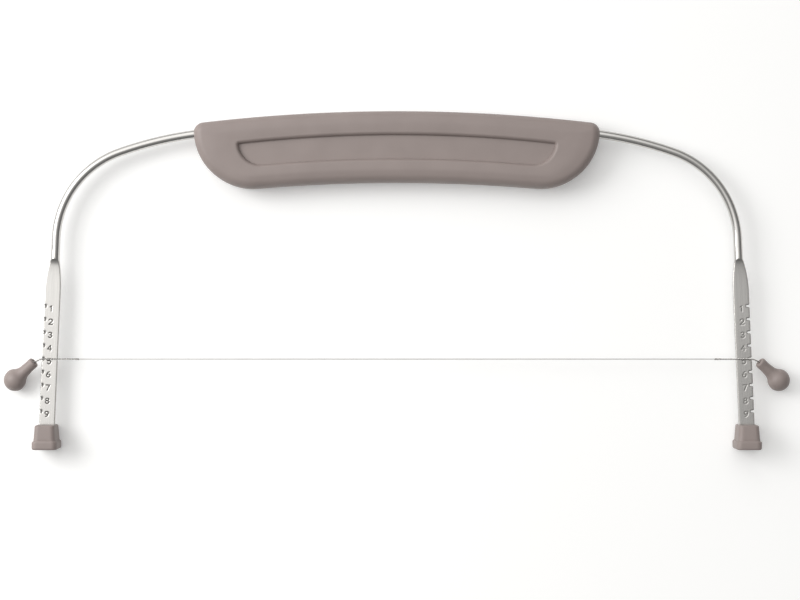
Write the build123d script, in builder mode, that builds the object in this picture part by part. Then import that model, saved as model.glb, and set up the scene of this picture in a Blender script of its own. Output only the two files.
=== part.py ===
"""Cake leveler with an adjustable cutting wire, lying flat on its back, as 14 separate pieces.

One steel bar is bent into a bow. Its ends are pressed flat into arms with nine notches each, a moulded
two-part grip closes round its middle, and moulded feet sit on the arms' ends. A thin wire crosses both
arms at a matching pair of notches and ends in two pull knobs.

Frame, in millimetres: +Z up from the table, +X to the user's right, +Y from the feet to the grip.
The origin is the middle of the object's footprint on the table. Heights are counted from the soles,
along +Y, because the arms' numbering is read that way.
"""

import os
from math import asin, atan2, cos, degrees, radians, sin, sqrt

from build123d import *

os.makedirs("parts", exist_ok=True)

# Whole object
sole_to_grip_top = 153.5
lying_depth = 15.0

# Bent bar
bar_diameter = 4.0
bar_below_grip_top = 4.05
bow_arch_radius = 690.0
bow_shoulder_radius = 171.0
bow_shoulder_angle = 19.4
bow_corner_radius = 43.5
bow_leg_length = 9.4
arm_flare_angle = 2.5

# Arms, pressed flat from the bar's ends
flattening_length = 8.6
thinning_length = 2.9
shoulder_step = 0.1
shoulder_overlap = 0.4
arm_outset = 0.4
arm_width = 7.4
arm_thickness = 1.4
arm_edge_radius = 0.5
arm_tip_height = 2.2

# Notches, numbered 1 at the top and 9 next to the foot
notch_count = 9
notch_pitch = 6.0
middle_notch_height = 41.0
notch_width = 1.2
notch_depth = 1.5
notch_mouth_radius = 0.45

# Grip
grip_half_length = 92.1
grip_height = 32.2
grip_top_rise = 5.6
grip_bottom_rise = 5.7
grip_lower_corner_radius = 26.4
grip_upper_corner_radius = 4.6
grip_edge_fillet = 4.2
grip_side_wall = 2.2
grip_face_wall = 2.6
grip_parting_bevel = 0.25
grip_rib_thickness = 1.6
grip_rib_count = 6
grip_rib_pitch = 30.4
saddle_clearance = 0.05

# Sunken panel on the grip's front
panel_half_length = 72.0
panel_below_grip_top = 10.3
panel_height = 11.9
panel_top_rise = 4.1
panel_bottom_rise = 3.9
panel_lower_corner_radius = 10.4
panel_upper_corner_radius = 0.8
panel_depth = 1.2
panel_floor_fillet = 0.35

# Locating pins between the two halves of the grip, midway between ribs
boss_above_grip_bottom = 6.6
boss_diameter = 6.4
boss_bore_depth = 3.9
pin_diameter = 2.9
pin_reach = 3.5
pin_clearance = 0.06

# Feet
foot_height = 11.1
flange_width = 11.6
flange_height = 3.9
flange_rise = 0.5
flange_corner_radius = 1.6
sleeve_top_width = 9.0
sleeve_bottom_width = 10.2
sleeve_top_depth = 13.0
sleeve_bottom_depth = 13.8
sleeve_bevel = 0.9
foot_edge_fillet = 0.6
socket_clearance = 0.06

# Cutting wire
strand_diameter = 0.4
twist_diameter = 0.8
wire_over_arm_clearance = 0.1
twist_reach_inward = 17.0
wrap_length = 2.2
wrap_diameter = 1.1
dip_start_inset = 1.4
dip_end_inset = 0.1
dip_depth = 0.5
wire_bend_radius = 1.2
swing_point_share = 0.42
swing_gap = 0.1

# Pull knobs
knob_hang_angle = 42.0
knob_ball_radius = 5.05
knob_ball_distance = 12.74
neck_tip_out = 3.4
neck_tip_drop = 1.3
neck_tip_sink = 0.6
neck_tip_radius = 2.4
neck_base_radius = 2.6
neck_tip_round = 0.5
neck_blend_radius = 6.0
knob_bore_clearance = 0.12
crimp_radius = 1.3
crimp_length = 4.4
crimp_start = 9.0
crimp_clearance = 0.05
tail_in_crimp = 3.6

# How far cutting shapes reach past the surface that they cut
cut_margin = 1.0

# Dependent sizes
half_height = sole_to_grip_top / 2
mid_z = lying_depth / 2
half_depth = lying_depth / 2
arm_front_z = mid_z + arm_thickness / 2
twist_z = arm_front_z + wire_over_arm_clearance + twist_diameter / 2
wire_height = middle_notch_height


def up(height):
    """The Y coordinate of a height above the soles."""
    return height - half_height


def arch_radius(half_span, rise):
    """The radius of an arch from half its span and how far its middle stands above its ends."""
    return (half_span**2 + rise**2) / (2 * rise)


# The bow's centre line, drawn for the right half from the middle of the grip to the arm
arch_angle = degrees(asin(grip_half_length / bow_arch_radius))
arm_angle = 90.0 - arm_flare_angle
bow_arch_top = sole_to_grip_top - bar_below_grip_top

with BuildLine(Plane.XY.offset(mid_z)) as bow_line:
    arch = JernArc((0, up(bow_arch_top)), (1, 0), bow_arch_radius, -arch_angle)
    shoulder = JernArc(arch @ 1, arch % 1, bow_shoulder_radius, -(bow_shoulder_angle - arch_angle))
    corner = JernArc(shoulder @ 1, shoulder % 1, bow_corner_radius, -(arm_angle - bow_shoulder_angle))

corner_end = corner @ 1
arm_down = Vector(sin(radians(arm_flare_angle)), -cos(radians(arm_flare_angle)), 0)
arm_out = Vector(cos(radians(arm_flare_angle)), sin(radians(arm_flare_angle)), 0)


def leg_point(height, outward=0.0):
    """A point at a height above the soles, outward by some distance from the bow's straight leg."""
    along = (corner_end.Y - up(height)) / cos(radians(arm_flare_angle))
    return corner_end + arm_down * along + arm_out * outward


def leg_section(height, outward=0.0):
    """The plane square to the leg at such a point: local x outward, local y towards the front."""
    return Plane(origin=leg_point(height, outward), x_dir=arm_out, z_dir=arm_down)


def ease(u):
    """0 to 1 with level ends: three u squared less two u cubed."""
    u = min(max(u, 0.0), 1.0)
    return u * u * (3 - 2 * u)


# Bow frame: one round bar, its ends pressed flat and notched on the outer edge
flat_start = corner_end.Y + half_height - bow_leg_length
full_width_start = flat_start - flattening_length
pressed_size = bar_diameter - 2 * shoulder_step
round_corner = pressed_size * 0.499
section_distances = [-shoulder_overlap]
section_distances += [thinning_length * n / 4 for n in range(1, 5)]
section_distances += [
    thinning_length + (flattening_length - thinning_length) * n / 3 for n in range(1, 4)
]

arm_edge_out = arm_outset + arm_width / 2
arm_edge = leg_point(wire_height, arm_edge_out)
slot_end = notch_width / 2 - notch_depth
mouth_side = notch_width / 2 + notch_mouth_radius

with BuildPart() as bow_frame:
    with BuildLine(Plane.XY.offset(mid_z)):
        add(bow_line.line)
        Line(corner @ 1, leg_point(flat_start))
    with BuildSketch(Plane(origin=(0, up(bow_arch_top), mid_z), z_dir=(1, 0, 0))):
        Circle(bar_diameter / 2)
    sweep()
    for distance in section_distances:
        widening = ease(distance / flattening_length)
        thinning = ease(distance / thinning_length)
        width = pressed_size + (arm_width - pressed_size) * widening
        thickness = pressed_size - (pressed_size - arm_thickness) * thinning
        radius = round_corner - (round_corner - arm_edge_radius) * thinning
        with BuildSketch(leg_section(flat_start - distance, arm_outset * widening)):
            RectangleRounded(width, thickness, radius)
    loft()
    with BuildSketch(leg_section(full_width_start, arm_outset)):
        RectangleRounded(arm_width, arm_thickness, arm_edge_radius)
    extrude(amount=(full_width_start - arm_tip_height) / cos(radians(arm_flare_angle)))
    # each notch is a round-ended slot whose mouth is rounded outward
    with BuildSketch(Plane(origin=arm_edge, x_dir=arm_out, z_dir=(0, 0, 1))):
        for n in range(notch_count):
            v = (n - (notch_count - 1) / 2) * notch_pitch
            with Locations(((cut_margin + slot_end) / 2, v)):
                Rectangle(cut_margin - slot_end, notch_width)
            with Locations((slot_end, v)):
                Circle(notch_width / 2)
            with Locations(((cut_margin - notch_mouth_radius) / 2, v)):
                Rectangle(cut_margin + notch_mouth_radius, 2 * mouth_side)
            with Locations((-notch_mouth_radius, v - mouth_side), (-notch_mouth_radius, v + mouth_side)):
                Circle(notch_mouth_radius, mode=Mode.SUBTRACT)
    extrude(amount=arm_thickness, both=True, mode=Mode.SUBTRACT)
    mirror(about=Plane.YZ)
bow_frame.part.label = "bow_frame"

# Grip outline: arched top and bottom, large lower corners, small upper corners
grip_bottom_middle = sole_to_grip_top - grip_height
grip_bottom_radius = arch_radius(grip_half_length, grip_bottom_rise)
grip_end_top = sole_to_grip_top - grip_top_rise
bottom_angle = degrees(
    asin((grip_half_length - grip_lower_corner_radius) / (grip_bottom_radius + grip_lower_corner_radius))
)
corner_centre_height = (
    grip_bottom_middle
    - grip_bottom_radius
    + (grip_bottom_radius + grip_lower_corner_radius) * cos(radians(bottom_angle))
)


def grip_sketch(inset):
    """The grip's outline as a sketch, moved inward by a distance."""
    corner_radius = grip_lower_corner_radius - inset
    # the lower corner's arc carries on past upright to the grip's top edge
    past_upright_angle = degrees(asin((grip_end_top - inset - corner_centre_height) / corner_radius))
    with BuildSketch() as outline:
        with BuildLine():
            low = JernArc(
                (0, up(grip_bottom_middle + inset)), (1, 0), grip_bottom_radius + inset, -bottom_angle
            )
            low_corner = JernArc(low @ 1, low % 1, corner_radius, 90 + bottom_angle + past_upright_angle)
            mirror(about=Plane.YZ)
            end = low_corner @ 1
            ThreePointArc(end, (0, up(sole_to_grip_top - inset)), (-end.X, end.Y))
        make_face()
        fillet(outline.vertices().group_by(Axis.Y)[-1], grip_upper_corner_radius - inset)
    return outline.sketch


# Panel outline: arched top with tight corners, arched bottom with round ones
panel_top = sole_to_grip_top - panel_below_grip_top
panel_bottom = panel_top - panel_height

with BuildSketch() as panel_outline:
    with BuildLine():
        ThreePointArc(
            (-panel_half_length, up(panel_top - panel_top_rise)),
            (0, up(panel_top)),
            (panel_half_length, up(panel_top - panel_top_rise)),
        )
        Line(
            (panel_half_length, up(panel_top - panel_top_rise)),
            (panel_half_length, up(panel_bottom - panel_bottom_rise)),
        )
        ThreePointArc(
            (panel_half_length, up(panel_bottom - panel_bottom_rise)),
            (0, up(panel_bottom)),
            (-panel_half_length, up(panel_bottom - panel_bottom_rise)),
        )
        Line(
            (-panel_half_length, up(panel_bottom - panel_bottom_rise)),
            (-panel_half_length, up(panel_top - panel_top_rise)),
        )
    make_face()

with BuildPart() as panel_hollow:
    with BuildSketch(Plane.XY.offset(lying_depth - panel_depth)):
        add(panel_outline.sketch)
    extrude(amount=panel_depth + cut_margin)
    upright_edges = panel_hollow.edges().filter_by(Axis.Z)
    fillet(upright_edges.group_by(Axis.Y)[0], panel_lower_corner_radius)
    upright_edges = panel_hollow.edges().filter_by(Axis.Z)
    fillet(upright_edges.group_by(Axis.Y)[-1], panel_upper_corner_radius)
    fillet(panel_hollow.faces().sort_by(Axis.Z)[0].edges(), panel_floor_fillet)

# The bar's bed, which both halves of the grip and their ribs are cut to
with BuildPart() as bar_bed:
    with BuildLine(Plane.XY.offset(mid_z)):
        add(arch)
        Line(arch @ 1, arch @ 1 + (arch % 1) * bar_diameter)
    with BuildSketch(Plane(origin=(0, up(bow_arch_top), mid_z), z_dir=(1, 0, 0))):
        Circle(bar_diameter / 2 + saddle_clearance)
    sweep()
    mirror(about=Plane.YZ)

# Ribs that stand across the bar and end inside the side wall
with BuildSketch() as rib_outline:
    with Locations((0, up(sole_to_grip_top - grip_height / 2))):
        with GridLocations(grip_rib_pitch, 0, grip_rib_count, 1):
            Rectangle(grip_rib_thickness, 2 * grip_height)
    add(grip_sketch(grip_side_wall / 2), mode=Mode.INTERSECT)

boss_height = up(grip_bottom_middle + boss_above_grip_bottom)
boss_points = [(n * grip_rib_pitch, boss_height) for n in (-2, -1, 1, 2)]

# Front half of the grip: rounded shell with the sunken panel, saddle ribs and bored bosses
with BuildPart() as front_grip_shell:
    with BuildSketch(Plane.XY.offset(mid_z)):
        add(grip_sketch(0.0))
    extrude(amount=half_depth)
    fillet(front_grip_shell.faces().sort_by(Axis.Z)[-1].edges(), grip_edge_fillet)
    chamfer(front_grip_shell.faces().sort_by(Axis.Z)[0].edges(), grip_parting_bevel)
    add(panel_hollow.part, mode=Mode.SUBTRACT)
    with BuildSketch(Plane.XY.offset(mid_z)):
        add(grip_sketch(grip_side_wall))
    extrude(amount=half_depth - grip_face_wall, mode=Mode.SUBTRACT)
    with BuildSketch(Plane.XY.offset(mid_z)):
        add(rib_outline.sketch)
        with Locations(*boss_points):
            Circle(boss_diameter / 2)
    extrude(amount=half_depth - grip_face_wall)
    with BuildSketch(Plane.XY.offset(mid_z)):
        with Locations(*boss_points):
            Circle(pin_diameter / 2 + pin_clearance)
    extrude(amount=boss_bore_depth, mode=Mode.SUBTRACT)
    add(bar_bed.part, mode=Mode.SUBTRACT)
front_grip_shell.part.label = "front_grip_shell"

# Back half of the grip: the same shell with a plain flat back, and the pins
with BuildPart() as back_grip_shell:
    with BuildSketch(Plane.XY):
        add(grip_sketch(0.0))
    extrude(amount=half_depth)
    fillet(back_grip_shell.faces().sort_by(Axis.Z)[0].edges(), grip_edge_fillet)
    chamfer(back_grip_shell.faces().sort_by(Axis.Z)[-1].edges(), grip_parting_bevel)
    with BuildSketch(Plane.XY.offset(grip_face_wall)):
        add(grip_sketch(grip_side_wall))
    extrude(amount=half_depth - grip_face_wall, mode=Mode.SUBTRACT)
    with BuildSketch(Plane.XY.offset(grip_face_wall)):
        add(rib_outline.sketch)
        with Locations(*boss_points):
            Circle(boss_diameter / 2)
    extrude(amount=half_depth - grip_face_wall)
    with BuildSketch(Plane.XY.offset(mid_z)):
        with Locations(*boss_points):
            Circle(pin_diameter / 2)
    extrude(amount=pin_reach)
    add(bar_bed.part, mode=Mode.SUBTRACT)
back_grip_shell.part.label = "back_grip_shell"


def bevelled_rectangle(width, depth):
    """Corner points of a rectangle whose four corners are cut off at 45 degrees."""
    w = width / 2
    d = depth / 2
    b = sleeve_bevel
    return [(w, d - b), (w - b, d), (b - w, d), (-w, d - b), (-w, b - d), (b - w, -d), (w - b, -d), (w, b - d)]


# Feet: a flange as deep as the grip, and a bevelled sleeve with the arm's socket
foot_x = leg_point(foot_height / 2, arm_outset).X
sole_plane = Plane(origin=(foot_x, up(0), mid_z), x_dir=(1, 0, 0), z_dir=(0, 1, 0))
flange_arch_end = flange_width / 2 - flange_corner_radius / 2

with BuildPart() as right_foot:
    with BuildSketch(sole_plane):
        RectangleRounded(flange_width, lying_depth, flange_corner_radius)
    extrude(amount=flange_height)
    # the flange's upper side rises in an arch to the middle, seen from the front
    with BuildSketch(Plane(origin=(foot_x, up(flange_height), mid_z), z_dir=(0, 0, 1))):
        with BuildLine():
            ThreePointArc((-flange_arch_end, 0), (0, flange_rise), (flange_arch_end, 0))
            Line((flange_arch_end, 0), (-flange_arch_end, 0))
        make_face()
    extrude(amount=half_depth - foot_edge_fillet, both=True)
    for height, width, depth in (
        (flange_height - flange_rise, sleeve_bottom_width, sleeve_bottom_depth),
        (foot_height, sleeve_top_width, sleeve_top_depth),
    ):
        with BuildSketch(sole_plane.offset(height)):
            Polygon(*bevelled_rectangle(width, depth))
    loft()
    fillet(right_foot.faces().sort_by(Axis.Y)[-1].edges(), foot_edge_fillet)
    fillet(right_foot.faces().sort_by(Axis.Y)[0].edges(), foot_edge_fillet)
    with BuildSketch(leg_section(foot_height + cut_margin, arm_outset)):
        Rectangle(arm_width + 2 * socket_clearance, arm_thickness + 2 * socket_clearance)
    extrude(
        amount=(foot_height + cut_margin - arm_tip_height) / cos(radians(arm_flare_angle)) + socket_clearance,
        mode=Mode.SUBTRACT,
    )
right_foot.part.label = "right_foot"

with BuildPart() as left_foot:
    add(right_foot.part)
    mirror(about=Plane.YZ, mode=Mode.REPLACE)
left_foot.part.label = "left_foot"

# Right wire end: along the front of the arm, down into the notch and out to the knob's neck
neck_tip = Vector(arm_edge.X + neck_tip_out, up(wire_height - neck_tip_drop), arm_front_z - neck_tip_sink)
twist_start = Vector(arm_edge.X - twist_reach_inward, up(wire_height), twist_z)
dip_start = Vector(arm_edge.X - dip_start_inset, up(wire_height), twist_z)
dip_end = Vector(arm_edge.X - dip_end_inset, up(wire_height), twist_z - dip_depth)
swing_point = dip_end + (neck_tip - dip_end) * swing_point_share
tail_direction = (neck_tip - dip_end).normalized()

# Right knob's axis: from the neck's tip down and outward to the ball that lies on the table
ball_drop = neck_tip.Z - knob_ball_radius
ball_plan_reach = sqrt(knob_ball_distance**2 - ball_drop**2)
knob_axis = (
    Vector(
        ball_plan_reach * cos(radians(knob_hang_angle)),
        -ball_plan_reach * sin(radians(knob_hang_angle)),
        -ball_drop,
    )
    / knob_ball_distance
)
knob_side = Vector(sin(radians(knob_hang_angle)), cos(radians(knob_hang_angle)), 0)
knob_plane = Plane(origin=neck_tip, x_dir=knob_axis, z_dir=knob_axis.cross(knob_side))

# The cutting wire's straight strand
with BuildPart() as cutting_wire:
    with BuildSketch(Plane(origin=(-twist_start.X, up(wire_height), twist_z), z_dir=(1, 0, 0))):
        Circle(strand_diameter / 2)
    extrude(amount=2 * twist_start.X)
cutting_wire.part.label = "cutting_wire"

# The doubled, twisted end of the wire, with the short wrap that locks its tip
with BuildPart() as right_wire_twist:
    with BuildLine():
        FilletPolyline(
            twist_start,
            dip_start,
            dip_end,
            swing_point - tail_direction * (swing_gap / 2),
            radius=wire_bend_radius,
        )
    with BuildSketch(Plane(origin=twist_start, z_dir=(1, 0, 0))):
        Circle(twist_diameter / 2)
    sweep()
    with BuildSketch(Plane(origin=twist_start, z_dir=(1, 0, 0))):
        Circle(wrap_diameter / 2)
    extrude(amount=wrap_length)
right_wire_twist.part.label = "right_wire_twist"

with BuildPart() as left_wire_twist:
    add(right_wire_twist.part)
    mirror(about=Plane.YZ, mode=Mode.REPLACE)
left_wire_twist.part.label = "left_wire_twist"

# The wire's tail, from the swing point through the knob's neck into the crimp
tail_end = neck_tip + knob_axis * (crimp_start + tail_in_crimp)
tail_start = swing_point + tail_direction * (swing_gap / 2)

with BuildPart() as right_wire_tail:
    with BuildLine():
        FilletPolyline(tail_start, neck_tip, tail_end, radius=wire_bend_radius)
    with BuildSketch(Plane(origin=tail_start, z_dir=tail_direction)):
        Circle(twist_diameter / 2)
    sweep()
right_wire_tail.part.label = "right_wire_tail"

with BuildPart() as left_wire_tail:
    add(right_wire_tail.part)
    mirror(about=Plane.YZ, mode=Mode.REPLACE)
left_wire_tail.part.label = "left_wire_tail"

# The crimp that holds the wire's end inside the knob
with BuildPart() as right_crimp:
    with BuildSketch(Plane(origin=neck_tip + knob_axis * crimp_start, z_dir=knob_axis)):
        Circle(crimp_radius)
        Circle(twist_diameter / 2 + crimp_clearance, mode=Mode.SUBTRACT)
    extrude(amount=crimp_length)
right_crimp.part.label = "right_crimp"

with BuildPart() as left_crimp:
    add(right_crimp.part)
    mirror(about=Plane.YZ, mode=Mode.REPLACE)
left_crimp.part.label = "left_crimp"

# Pull knob: a ball with a slightly flared neck, turned about its own axis
blend_reach = sqrt(
    (knob_ball_radius + neck_blend_radius) ** 2 - (neck_base_radius + neck_blend_radius) ** 2
)
blend_height = neck_base_radius + neck_blend_radius
blend_x = knob_ball_distance - blend_reach
ball_share = knob_ball_radius / (knob_ball_radius + neck_blend_radius)
ball_touch = (knob_ball_distance - blend_reach * ball_share, blend_height * ball_share)
blend_middle_angle = (radians(270) + atan2(-blend_height, blend_reach) + radians(360)) / 2
blend_middle = (
    blend_x + neck_blend_radius * cos(blend_middle_angle),
    blend_height + neck_blend_radius * sin(blend_middle_angle),
)
ball_middle_angle = (radians(180) - atan2(blend_height, blend_reach)) / 2
ball_middle = (
    knob_ball_distance + knob_ball_radius * cos(ball_middle_angle),
    knob_ball_radius * sin(ball_middle_angle),
)
ball_end = (knob_ball_distance + knob_ball_radius, 0)

with BuildPart() as right_knob:
    with BuildSketch(knob_plane):
        with BuildLine():
            Line((0, 0), (0, neck_tip_radius - neck_tip_round))
            Line((0, neck_tip_radius - neck_tip_round), (neck_tip_round, neck_tip_radius))
            Line((neck_tip_round, neck_tip_radius), (blend_x, neck_base_radius))
            ThreePointArc((blend_x, neck_base_radius), blend_middle, ball_touch)
            ThreePointArc(ball_touch, ball_middle, ball_end)
            Line(ball_end, (0, 0))
        make_face()
    revolve(axis=Axis(neck_tip, knob_axis))
    with BuildSketch(Plane(origin=neck_tip, z_dir=knob_axis)):
        Circle(twist_diameter / 2 + knob_bore_clearance)
    extrude(amount=crimp_start, mode=Mode.SUBTRACT)
    with BuildSketch(Plane(origin=neck_tip + knob_axis * (crimp_start - crimp_clearance), z_dir=knob_axis)):
        Circle(crimp_radius + crimp_clearance)
    extrude(amount=crimp_length + 2 * crimp_clearance, mode=Mode.SUBTRACT)
right_knob.part.label = "right_knob"

with BuildPart() as left_knob:
    add(right_knob.part)
    mirror(about=Plane.YZ, mode=Mode.REPLACE)
left_knob.part.label = "left_knob"

for piece in (
    front_grip_shell,
    back_grip_shell,
    bow_frame,
    left_foot,
    right_foot,
    cutting_wire,
    left_wire_twist,
    right_wire_twist,
    left_wire_tail,
    right_wire_tail,
    left_crimp,
    right_crimp,
    left_knob,
    right_knob,
):
    export_step(piece.part, f"parts/{piece.part.label}.step")
    box = piece.part.bounding_box()
    print(
        f"{piece.part.label}: {len(piece.part.solids())} solid, {piece.part.volume:.1f} mm3,"
        f" x {box.min.X:.2f}..{box.max.X:.2f}, y {box.min.Y:.2f}..{box.max.Y:.2f},"
        f" z {box.min.Z:.2f}..{box.max.Z:.2f}"
    )

knob_far_side = (neck_tip + knob_axis * knob_ball_distance).X + knob_ball_radius
print(f"overall length {2 * knob_far_side:.1f}")
print(f"flattening starts {flat_start:.2f} above the soles, full width from {full_width_start:.2f}")
print(f"arm edge at the wire {arm_edge.X:.2f}, foot {foot_x:.2f}, corner end height {corner_end.Y + half_height:.2f}")
print(f"grip corner centre height {corner_centre_height:.2f}, top end {grip_end_top:.2f}")
print(f"swing point {swing_point.X:.3f}, {swing_point.Y:.3f}, {swing_point.Z:.3f}")
print(f"neck tip {neck_tip.X:.3f}, {neck_tip.Y:.3f}, {neck_tip.Z:.3f}")
print(f"wire centre y {up(wire_height):.3f}, z {twist_z:.3f}, twist starts at x {twist_start.X:.2f}")
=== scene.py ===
# %% [markdown]
# # A cake leveler on a white table
#
# The object is one steel bar bent into a bow, with a moulded grip round its middle, pressed and notched
# arms at its ends, moulded feet, and a thin wire between two pull knobs. Its true sizes come from the
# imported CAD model, which is loaded first and never moved. This lesson gives every piece the surface that
# the real one has, and builds anew the pieces whose finest forms a CAD solid leaves out.

import bmesh
import bpy
import numpy as np
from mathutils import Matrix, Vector


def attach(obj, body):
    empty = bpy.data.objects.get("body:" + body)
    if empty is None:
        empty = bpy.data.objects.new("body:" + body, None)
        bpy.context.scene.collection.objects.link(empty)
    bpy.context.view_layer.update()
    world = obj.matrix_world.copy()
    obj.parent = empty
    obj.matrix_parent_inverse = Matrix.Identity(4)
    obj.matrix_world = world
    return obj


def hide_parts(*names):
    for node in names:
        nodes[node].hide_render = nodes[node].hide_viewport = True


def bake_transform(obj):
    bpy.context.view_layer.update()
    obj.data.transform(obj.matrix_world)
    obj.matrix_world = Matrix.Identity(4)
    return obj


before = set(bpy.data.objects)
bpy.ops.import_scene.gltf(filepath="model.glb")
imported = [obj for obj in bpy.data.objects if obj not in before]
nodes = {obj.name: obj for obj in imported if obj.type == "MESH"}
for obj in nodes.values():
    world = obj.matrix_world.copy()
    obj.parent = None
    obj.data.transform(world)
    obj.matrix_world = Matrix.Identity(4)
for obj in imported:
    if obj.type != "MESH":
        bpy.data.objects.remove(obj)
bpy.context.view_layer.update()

# %% [markdown]
# ## The camera
#
# The picture was taken from straight above, with the object lying on its back. An orthographic camera
# could stand for that, but the feet and knobs show a little of their inner sides, which only a real
# distance gives. At 880 mm above the wire, one of the 800 pixels across covers 0.4545 mm there, and on a
# 36 mm wide sensor the lens follows from those two numbers.

# %% Camera
MM = 0.001
camera_height, pixel, wire_z = 880, 0.4545, 8.7
camera_data = bpy.data.cameras.new("overhead_camera")
camera_data.sensor_width = 36.0
camera_data.lens = camera_data.sensor_width * camera_height / (800 * pixel)
camera_data.clip_start = 0.05
camera_data.clip_end = 20.0
camera = bpy.data.objects.new("overhead_camera", camera_data)
camera.location = (1.45 * MM, -8.9 * MM, (wire_z + camera_height) * MM)
bpy.context.scene.collection.objects.link(camera)
bpy.context.scene.camera = camera
bpy.context.scene.view_settings.view_transform = "Standard"
print("lens", round(camera_data.lens, 2), "mm, camera height", round(camera.location.z, 4), "m")

# %% [markdown]
# ## Colours and nodes
#
# Colours are written as the sRGB values that a colour picker shows, and shaders work in linear light, so
# one function turns the first into the second. A second adds a shader node, types in its values and makes
# its links. That keeps each material down to the lines that say what it is.


# %% Two helpers for materials
def linear(hex_colour, share=1.0):
    """Linear RGBA of an sRGB hex colour, times a share.

    Each channel c becomes c / 12.92 up to 0.04045, and ((c + 0.055) / 1.055) to the power 2.4 above it.
    """
    c = np.array([int(hex_colour[i : i + 2], 16) for i in (1, 3, 5)]) / 255.0
    c = np.where(c <= 0.04045, c / 12.92, ((c + 0.055) / 1.055) ** 2.4) * share
    return (*c.tolist(), 1.0)


def add_node(tree, kind, sockets=None, **settings):
    """Adds a node with its settings. A socket given an output is linked, any other value is typed in."""
    node = tree.nodes.new("ShaderNode" + kind)
    for name, value in settings.items():
        setattr(node, name, value)
    for key, value in (sockets or {}).items():
        if isinstance(value, bpy.types.NodeSocket):
            tree.links.new(value, node.inputs[key])
        else:
            node.inputs[key].default_value = value
    return node


def new_material(name, sockets):
    """A material whose Principled shader has these sockets typed in. Returns material, tree and shader."""
    material = bpy.data.materials.new(name)
    material.use_nodes = True
    shader = next(n for n in material.node_tree.nodes if n.type == "BSDF_PRINCIPLED")
    for key, value in sockets.items():
        shader.inputs[key].default_value = value
    return material, material.node_tree, shader


print("taupe in linear light:", [round(v, 3) for v in linear("#948884")])

# %% [markdown]
# ## The table
#
# The real scene is a white table. A white floor alone renders a little grey, and more lamp light would
# wash out the object, so the floor adds a little glow for camera, glossy and transmission rays only: it
# looks white, steel mirrors it as white, and it still keeps the object's soft shadow.

# %% Table
half, below = 3.0, 0.2 * MM
floor_glow = 0.2
table_mesh = bpy.data.meshes.new("white_table")
corners = [(-half, -half, 0), (half, -half, 0), (half, half, 0), (-half, half, 0)]
table_mesh.from_pydata(corners, [], [(0, 1, 2, 3)])
table = bpy.data.objects.new("white_table", table_mesh)
table.location.z = -below
bpy.context.scene.collection.objects.link(table)

matt_white = {"Base Color": linear("#f2f2f1"), "Roughness": 0.9, "Specular IOR Level": 0.0}
table_white, tree, shader = new_material("matt_white_table", matt_white)
ray = add_node(tree, "LightPath").outputs
seen = add_node(tree, "Math", {0: ray["Is Camera Ray"], 1: ray["Is Glossy Ray"]}, operation="MAXIMUM")
seen = add_node(tree, "Math", {0: seen.outputs[0], 1: ray["Is Transmission Ray"]}, operation="MAXIMUM")
lift = add_node(tree, "Math", {0: seen.outputs[0], 1: floor_glow}, operation="MULTIPLY")
glow = add_node(tree, "Emission", {"Color": (1, 1, 1, 1), "Strength": lift.outputs[0]})
both = add_node(tree, "AddShader", {0: shader.outputs[0], 1: glow.outputs[0]})
surface_output = next(n for n in tree.nodes if n.type == "OUTPUT_MATERIAL")
tree.links.new(both.outputs[0], surface_output.inputs["Surface"])
table_mesh.materials.append(table_white)
print("table", 2 * half, "m square")

# %% [markdown]
# ## The light
#
# Steel shows its surroundings more than its own colour. The left arm's flat face is nearly white and the
# right arm's is mid grey, so a large soft light stands over the left side only, and the room is darker
# to the right and towards the viewer. The world's brightness follows one direction, from a dim lower
# right to a bright upper left, and a rectangular lamp there gives the shadows their side. Where the camera
# itself looks past the table, it sees plain white, as in a studio with a white wall.


# %% Lamp and room
def softbox(name, place, aim, width, height, radiance):
    """A rectangular lamp that faces a point: its power is its radiance times pi times its area."""
    lamp = bpy.data.lights.new(name, "AREA")
    lamp.shape = "RECTANGLE"
    lamp.size, lamp.size_y = width, height
    lamp.energy = radiance * np.pi * width * height
    holder = bpy.data.objects.new(name, lamp)
    holder.location = place
    holder.rotation_mode = "QUATERNION"
    holder.rotation_quaternion = (holder.location - Vector(aim)).to_track_quat("Z", "Y")
    bpy.context.scene.collection.objects.link(holder)


softbox("window_left", place=(-0.74, 0.24, 0.6), aim=(0.0, 0.0, 0.0), width=0.53, height=0.53, radiance=5.7)

world = bpy.data.worlds.new("grey_studio")
bpy.context.scene.world = world
world.use_nodes = True
tree = world.node_tree
background = next(n for n in tree.nodes if n.type == "BACKGROUND")
bright_side = (-0.38, 0.42, 0.825)
stops = ((0.0, 0.2), (0.5, 0.32), (0.7, 0.44), (0.76, 0.66), (0.86, 1.32), (0.92, 1.54), (1.0, 1.6))
ray = add_node(tree, "LightPath").outputs
direction = add_node(tree, "TexCoord").outputs["Generated"]
towards = add_node(tree, "VectorMath", {0: direction, 1: bright_side}, operation="DOT_PRODUCT")
room = add_node(tree, "ValToRGB", {"Fac": towards.outputs["Value"]})
for position, grey in stops[1:-1]:
    room.color_ramp.elements.new(position)
for stop, (position, grey) in zip(room.color_ramp.elements, stops):
    stop.position, stop.color = position, (grey, grey * 0.995, grey * 0.985, 1)
room_or_white = {0: ray["Is Camera Ray"], 6: room.outputs["Color"], 7: (1, 1, 1, 1)}
seen = add_node(tree, "Mix", room_or_white, data_type="RGBA")
tree.links.new(seen.outputs[2], background.inputs["Color"])
background.inputs["Strength"].default_value = 1.0
print("one soft light at the upper left, room brightness", [grey for _, grey in stops])

# %% [markdown]
# ## Surfaces from arrays
#
# Each new piece is a closed surface on a grid: rows of points run along the piece, columns run round it.
# The whole grid is computed at once as an array. A piece could also be pulled from a curve object with a
# bevel, but a grid lets its section change on the way and lets every point carry extra numbers, such as
# its place in the bar before bending, which the material reads.


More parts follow.
